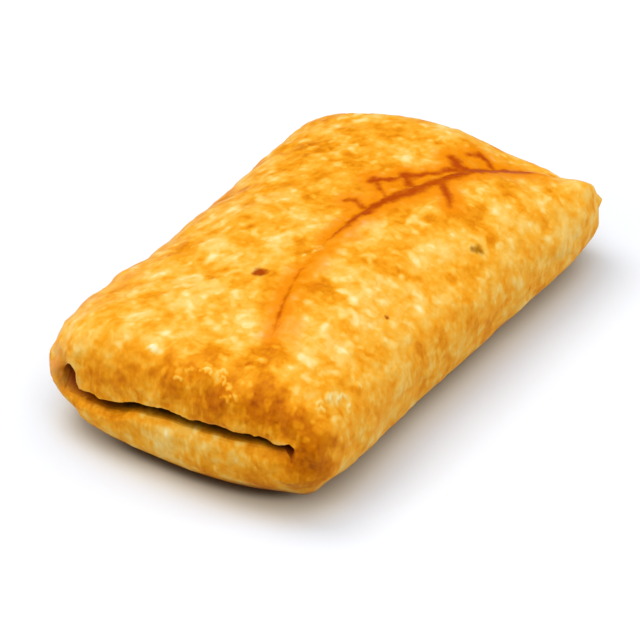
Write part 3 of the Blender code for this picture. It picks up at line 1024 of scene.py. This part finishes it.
# Where the painted highlight runs along the upper lip's lower edge: its width, the Y at which it grows full
# at each end, and its strength between.
LIP_EDGE_HIGHLIGHT_WIDTH = 0.8 * MM
LIP_EDGE_HIGHLIGHT_LEFT = (20.0 * MM, 25.0 * MM)
LIP_EDGE_HIGHLIGHT_RIGHT = (-30.0 * MM, -27.0 * MM)
LIP_EDGE_HIGHLIGHT_BETWEEN = 0.25
FLAP_HIDDEN = 0.02
# Limits for the Z of a face's normal, between which a share changes.
WALL_FACES = (0.2, 0.8)
UNDER_FACES = (-0.75, -0.45)
CALM_FACES = (-0.9, -0.3)
WRINKLED_TURN = (0.15, 0.75)  # how far that Z is from that of a level face
WRINKLES_ON_TOP = 0.35
WRINKLE_HEIGHT = 0.12 * MM
PEBBLE_SIZE = 3.4 * MM
PEBBLE_HEIGHT = 0.26 * MM
STREAK_HEIGHT = 0.14 * MM
HOOK_HEIGHT = 0.35 * MM
SPOT_DEPTH = 0.25 * MM


def measure(point, normal, tree):
    """Everything about a point that the relief or the material asks for."""
    found = {"flap_inside": NO_FLAP}
    if flap_shown(normal) > FLAP_HIDDEN:
        found["flap_inside"] = flap_inside(point) / MM
    for name, places in PLACES.items():
        found[name] = strongest_of(point, places)
    found["scorch"] = along_x(point, EDGE_SCORCH)
    found["burnt"] = past_burnt(point, normal)
    found["hook"] = hook_at(point, hooks, hook_finder)
    found["blister"] = blisters(point, found["pale"])
    found["shelter"] = shelter_at(tree, point, normal)
    found["pit"] = pit_at(point)
    found["wall"] = 1.0 - ramp(*WALL_FACES, abs(normal.z))
    found["under"] = 1.0 - ramp(*UNDER_FACES, normal.z)
    at_ends = max(ramp(*LIP_EDGE_HIGHLIGHT_LEFT, point.y), 1.0 - ramp(*LIP_EDGE_HIGHLIGHT_RIGHT, point.y), LIP_EDGE_HIGHLIGHT_BETWEEN)
    found["lip_edge_highlight"] = at_ends * bump(off_lip_edge(point), LIP_EDGE_HIGHLIGHT_WIDTH)
    return found


def relief_height(point, normal, found):
    """How far a point moves out. The wrinkles are strongest on the walls, and the underside is calm."""
    wrinkled = WRINKLES_ON_TOP + (1.0 - WRINKLES_ON_TOP) * ramp(*WRINKLED_TURN, 1.0 - abs(normal.z))
    height = BLISTER_HEIGHT * found["blister"]
    height += PEBBLE_HEIGHT * noise.noise(point / PEBBLE_SIZE)
    height += WRINKLE_HEIGHT * wrinkles(point) * wrinkled
    height += STREAK_HEIGHT * streaks(point, normal)
    height *= (1.0 - found["shelter"]) * ramp(*CALM_FACES, normal.z)
    height += edge_height(point, normal)
    return height + HOOK_HEIGHT * found["hook"] - SPOT_DEPTH * found["spot"]


def raise_relief(skin):
    layers = {name: skin.verts.layers.float.new(name) for name in MASKS}
    tree = BVHTree.FromBMesh(skin)
    moves = []
    for vert in skin.verts:
        found = measure(vert.co, vert.normal, tree)
        for name in MASKS:
            vert[layers[name]] = found[name]
        move = vert.normal * relief_height(vert.co, vert.normal, found)
        move.z += ragged_lip(vert.co, off_lip_edge(vert.co)) + far_wave(vert.co)
        moves.append(move)
    for vert, move in zip(skin.verts, moves):
        vert.co += move
        vert.co.z = max(vert.co.z, 0.0)


raise_relief(skin)
print("relief raised on", len(skin.verts), "points")

# %% The crust as a piece


def make_crust(skin):
    bmesh.ops.triangulate(skin, faces=skin.faces)
    mesh = bpy.data.meshes.new("crust")
    skin.to_mesh(mesh)
    skin.free()
    mesh.shade_smooth()
    return add_to_scene("crust", mesh)


crust = make_crust(skin)
print("crust:", len(crust.data.polygons), "triangles")

# %% [markdown]
# ## The colours of browning
# Dough goes through the same colours wherever it is fried, only not equally far: cream, gold, amber,
# brown. So one number, the toast, says how far each point has come, and a colour ramp turns it into a
# colour. Patterns then only have to add to the toast or take from it, and every mixture looks like crust.

# %% From toast to colour
WHITE_LEVEL = 1.6  # how bright a white sheet would be under these lamps, when 1 just shows as white
TOAST_COLOURS = (
    (0.00, (255, 242, 200)),
    (0.14, (255, 230, 158)),
    (0.28, (255, 214, 120)),
    (0.42, (254, 197, 86)),
    (0.52, (253, 182, 54)),
    (0.62, (250, 164, 26)),
    (0.74, (232, 140, 6)),
    (0.86, (206, 110, 0)),
    (0.94, (168, 78, 0)),
    (1.00, (116, 46, 0)),
)
HALO_COLOUR = (246, 142, 2)
BURNT_COLOUR = (188, 74, 0)
SPOT_COLOUR = (172, 70, 0)
HERB_COLOUR = (170, 108, 0)
BEIGE_COLOUR = (236, 168, 96)
# Painted highlight on the upper lip's thin edge.
LIP_EDGE_PAINTED_HIGHLIGHT = (250, 188, 92)
# Painted shade on the underside.
UNDERSIDE_PAINTED_SHADE = (160, 86, 10)
# Painted shade in the slit, together with some browning.
SLIT_SHADE_AND_BROWNING = (66, 40, 2)
# Painted shade in the left hollow.
PIT_PAINTED_SHADE = (136, 52, 4)


def shown_as(colour):
    """The shader's colour for one that the picture shows in full light, each part from 0 to 255."""
    parts = []
    for value in colour:
        share = value / 255.0
        # The usual steps from a picture's value to an amount of light.
        light = share / 12.92 if share <= 0.04045 else ((share + 0.055) / 1.055) ** 2.4
        parts.append(light / WHITE_LEVEL)
    return (*parts, 1.0)


def toast_colour(tree, toast):
    node = tree.nodes.new("ShaderNodeValToRGB")
    steps = node.color_ramp.elements
    while len(steps) < len(TOAST_COLOURS):
        steps.new(1.0)
    for step, (position, colour) in zip(steps, TOAST_COLOURS):
        step.position = position
        step.color = shown_as(colour)
    plug(tree, node.inputs["Fac"], toast)
    return node.outputs["Color"]


# %% Patterns of plain crust
MIDDLE_TOAST = 0.53
DARKEST_TOAST = 0.74
DARKER_IN_BROWN = 0.14
DARKEST_SOFTNESS = 0.1
# Uneven browning: the size in millimetres, the shift that sets the pattern apart, and its share.
BROWNING = ((15.0, (0.0, 0.0, 0.0), 0.45), (7.0, (5.0, 50.0, 9.0), 0.4), (3.4, (70.0, 2.0, 3.0), 0.4))
# Each pattern has a size, the levels of its noise between which it begins, and the share it adds.
FLECK_SIZE = 3.0
FLECK_LEVELS = (0.03, 0.3)
FLECK_SHARE = -0.3
FLECKS_IN_PALE = 0.12
FLECKS_ON_WALLS = -0.55
BLOT_SIZE = 4.6
BLOT_SHIFT = (31.0, 7.0, 19.0)
BLOT_LEVELS = (0.03, 0.22)
BLOT_SHARE = 0.11
STROKE_SIZE = 1.8
STROKE_STRETCH = (1.0, 1.0, 0.4)
STROKE_LEVELS = (0.0, 0.2)
STROKE_SHARE = -0.12
GRAIN_SIZE = 1.5
GRAIN_SHARE = 0.24
# Of these shares, shelter darkens the slits as painted shade together with their browning, and blister makes
# blister tops paler, partly as paler dough and partly as a painted highlight.
MASK_SHARES = {"brown": 0.35, "shelter": 0.5, "pale": -0.08, "wall": 0.03, "hook": -0.36, "blister": -0.1}


def cream_flecks(tree, where):
    """Soft flecks of one to three millimetres, where flour lay thick, from 0 to 1. The walls have less."""
    level = add_share(tree, noise_at(tree, where, FLECK_SIZE), mask(tree, "pale"), FLECKS_IN_PALE)
    on_walls = calculate(tree, "MULTIPLY_ADD", mask(tree, "wall"), FLECKS_ON_WALLS, 1.0)
    return times(tree, soft_step(tree, level, *FLECK_LEVELS), on_walls)


def amber_blots(tree):
    """Larger blots, elsewhere, where the crust has browned more."""
    elsewhere = millimetres(tree, shift=BLOT_SHIFT)
    return soft_step(tree, noise_at(tree, elsewhere, BLOT_SIZE), *BLOT_LEVELS)


def upright_strokes(tree):
    """Short light strokes that run up the walls, from 0 to 1."""
    upright = millimetres(tree, stretch=STROKE_STRETCH)
    strokes = soft_step(tree, noise_at(tree, upright, STROKE_SIZE), *STROKE_LEVELS)
    return times(tree, strokes, mask(tree, "wall"))


def toast(tree, where, strokes):
    """How far each point has browned, from 0 to 1."""
    total = MIDDLE_TOAST
    for size, shift, share in BROWNING:
        total = add_share(tree, total, noise_at(tree, millimetres(tree, shift=shift), size), share)
    total = add_share(tree, total, cream_flecks(tree, where), FLECK_SHARE)
    total = add_share(tree, total, amber_blots(tree), BLOT_SHARE)
    total = add_share(tree, total, strokes, STROKE_SHARE)
    for name, share in MASK_SHARES.items():
        total = add_share(tree, total, mask(tree, name), share)
    darkest = calculate(tree, "MULTIPLY_ADD", mask(tree, "brown"), DARKER_IN_BROWN, DARKEST_TOAST)
    total = calculate(tree, "SMOOTH_MIN", total, darkest, DARKEST_SOFTNESS)
    return add_share(tree, total, noise_at(tree, where, GRAIN_SIZE), GRAIN_SHARE)


# %% [markdown]
# ## The burnt line
# Along the flap's edge thin dough stood in the hot oil. There the crust is orange first, and dark
# red-brown at the core. The line shouldn't look drawn: noise shifts it sideways, changes its width and
# breaks it up, and its strength changes along the way.

# %% Masks of the burnt line
# The noise that makes it uneven: its size in millimetres, its detail, its roughness and its share.
UNEVEN = ((2.4, 2.0, 0.6, 2.6), (5.0, 1.0, 0.5, 2.0))
# The distances off the line at which the core and the halo begin and are full.
CORE_EDGE = (1.0, -1.2)
HALO_BY_LINE = (5.2, 0.2)
CORE_PATCH_SIZE = 4.0
CORE_PATCH_SHIFT = (9.0, 3.0, 40.0)
CORE_PATCH_LEVELS = (-0.25, 0.0)
CORE_WEAKEST = 0.7
# The distances inside the flap's edge between which the halo begins and ends, and how far it wanders.
HALO_BEGINS = (-2.5, 0.5)
HALO_ENDS = (8.0, 1.5)
HALO_WANDERS = 8.0
HALO_WANDER_SIZE = 5.0


def off_burnt(tree, where):
    """The distance to the burnt lines in millimetres, made uneven by noise."""
    distance = mask(tree, "burnt")
    for size, detail, roughness, share in UNEVEN:
        distance = add_share(tree, distance, noise_at(tree, where, size, detail, roughness), share)
    return distance


def burnt_core(tree, where):
    """The dark core of the burnt lines, from 0 to 1."""
    patches = noise_at(tree, millimetres(tree, shift=CORE_PATCH_SHIFT), CORE_PATCH_SIZE, 2.0)
    strength = soft_step(tree, patches, *CORE_PATCH_LEVELS)
    strength = calculate(tree, "MULTIPLY_ADD", strength, 1.0 - CORE_WEAKEST, CORE_WEAKEST)
    return times(tree, soft_step(tree, off_burnt(tree, where), *CORE_EDGE), strength)


def halo(tree, where):
    """The orange band beside the lines, most of it on the flap, from 0 to 1."""
    wander = noise_at(tree, where, HALO_WANDER_SIZE, 2.0)
    inside = add_share(tree, mask(tree, "flap_inside"), wander, HALO_WANDERS)
    on_flap = times(tree, soft_step(tree, inside, *HALO_BEGINS), soft_step(tree, inside, *HALO_ENDS))
    near_line = soft_step(tree, off_burnt(tree, where), *HALO_BY_LINE)
    return calculate(tree, "MAXIMUM", times(tree, on_flap, mask(tree, "scorch")), near_line)


# %% [markdown]
# ## The crust's material
# The colours are laid one over another: first those the crust has, in the order in which they came about:
# the toasted ground, the orange halo and the burnt line in it, spots and beige rims. Then painted light and
# shade: a painted highlight on the lip's thin edge, painted shade on the underside, and last the painted
# shade of the hollow and the slits, which also stands for the browning in the slits. A light gloss of oil
# and a fine bump finish it.

# %% Colours laid over one another
HALO_SHARE = 0.93
# Small dark specks: the mask, the colour and the levels between which a speck begins.
SPECKS = (("spot", SPOT_COLOUR, (0.15, 0.9)), ("herb", HERB_COLOUR, (0.2, 1.0)))
SPECK_NOISE_SIZE = 1.8
SPECK_NOISE_SHARE = 0.9
BEIGE_SIZE = 3.4
BEIGE_LEVELS = (-0.15, 0.12)
BEIGE_SHARE = 0.65
LIP_EDGE_HIGHLIGHT_SHARE = 0.8
# Towards its two ends, along Y in millimetres, the slit's painted shade is brown and not black.
BROWN_FROM_Y = (12.0, 24.0)
BROWN_BELOW_Y = (-26.0, -33.0)
# How sheltered a point is where the slit's painted shade begins, softly at first and then fully.
DARKENS_SOFTLY = (0.14, 0.5)
DARKENS_FULLY = (0.35, 0.8)
SOFT_DARK_SHARE = 0.5


def add_specks(tree, where, colour):
    for name, speck_colour, levels in SPECKS:
        uneven = noise_at(tree, where, SPECK_NOISE_SIZE)
        level = add_share(tree, mask(tree, name), uneven, SPECK_NOISE_SHARE)
        colour = mixed(tree, soft_step(tree, level, *levels), colour, shown_as(speck_colour))
    return colour


def add_beige(tree, where, colour):
    patches = soft_step(tree, noise_at(tree, where, BEIGE_SIZE, 2.0), *BEIGE_LEVELS)
    beige = times(tree, times(tree, mask(tree, "beige"), patches), BEIGE_SHARE)
    return mixed(tree, beige, colour, shown_as(BEIGE_COLOUR))


def crust_colour(tree, where, strokes):
    colour = toast_colour(tree, toast(tree, where, strokes))
    colour = mixed(tree, times(tree, halo(tree, where), HALO_SHARE), colour, shown_as(HALO_COLOUR))
    colour = mixed(tree, burnt_core(tree, where), colour, shown_as(BURNT_COLOUR))
    colour = add_beige(tree, where, add_specks(tree, where, colour))
    # Painted highlight along the upper lip's thin lower edge.
    lip_edge_highlight = times(tree, mask(tree, "lip_edge_highlight"), LIP_EDGE_HIGHLIGHT_SHARE)
    colour = mixed(tree, lip_edge_highlight, colour, shown_as(LIP_EDGE_PAINTED_HIGHLIGHT))
    # Painted shade: faces turned down are mixed towards a darker brown.
    return mixed(tree, mask(tree, "under"), colour, shown_as(UNDERSIDE_PAINTED_SHADE))


def add_slit_shade_and_browning(tree, colour):
    """Painted shade: the left hollow is red-brown by its depth, and the slit nearly black in its middle and
    brown at its ends, shade together with some browning.
    """
    colour = mixed(tree, mask(tree, "pit"), colour, shown_as(PIT_PAINTED_SHADE))
    to_left_end = soft_step(tree, way_along_y(tree), *BROWN_FROM_Y)
    to_right_end = soft_step(tree, way_along_y(tree), *BROWN_BELOW_Y)
    at_ends = calculate(tree, "MAXIMUM", to_left_end, to_right_end)
    slit = mixed(tree, at_ends, shown_as(SLIT_SHADE_AND_BROWNING), shown_as(PIT_PAINTED_SHADE))
    softly = times(tree, soft_step(tree, mask(tree, "shelter"), *DARKENS_SOFTLY), SOFT_DARK_SHARE)
    colour = mixed(tree, softly, colour, slit)
    return mixed(tree, soft_step(tree, mask(tree, "shelter"), *DARKENS_FULLY), colour, slit)


# %% Put the material together
GLOSS = 0.03
ROUGHNESS = 0.47
ROUGHNESS_VARIES = 0.3
ROUGHNESS_SIZE = 2.0
BUMP_SIZE = 1.6
BUMP_DISTANCE = 0.25 * MM
BUMP_STRENGTH = 0.35
STROKE_BUMP = 0.4


def crust_material():
    material = bpy.data.materials.new("fried_crust")
    material.use_nodes = True
    tree = material.node_tree
    shader = tree.nodes["Principled BSDF"]
    where = millimetres(tree)
    strokes = upright_strokes(tree)
    colour = add_slit_shade_and_browning(tree, crust_colour(tree, where, strokes))
    plug(tree, shader.inputs["Base Color"], colour)
    oiliness = noise_at(tree, where, ROUGHNESS_SIZE, 2.0)
    plug(tree, shader.inputs["Roughness"], add_share(tree, ROUGHNESS, oiliness, ROUGHNESS_VARIES))
    shader.inputs["Specular IOR Level"].default_value = GLOSS
    raised = tree.nodes.new("ShaderNodeBump")
    raised.inputs["Strength"].default_value = BUMP_STRENGTH
    raised.inputs["Distance"].default_value = BUMP_DISTANCE
    height = add_share(tree, noise_at(tree, where, BUMP_SIZE, 2.0), strokes, STROKE_BUMP)
    plug(tree, raised.inputs["Height"], height)
    plug(tree, shader.inputs["Normal"], raised.outputs["Normal"])
    return material


crust.data.materials.append(crust_material())
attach(crust, "root")
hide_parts("pizza_puff")
print("crust finished")
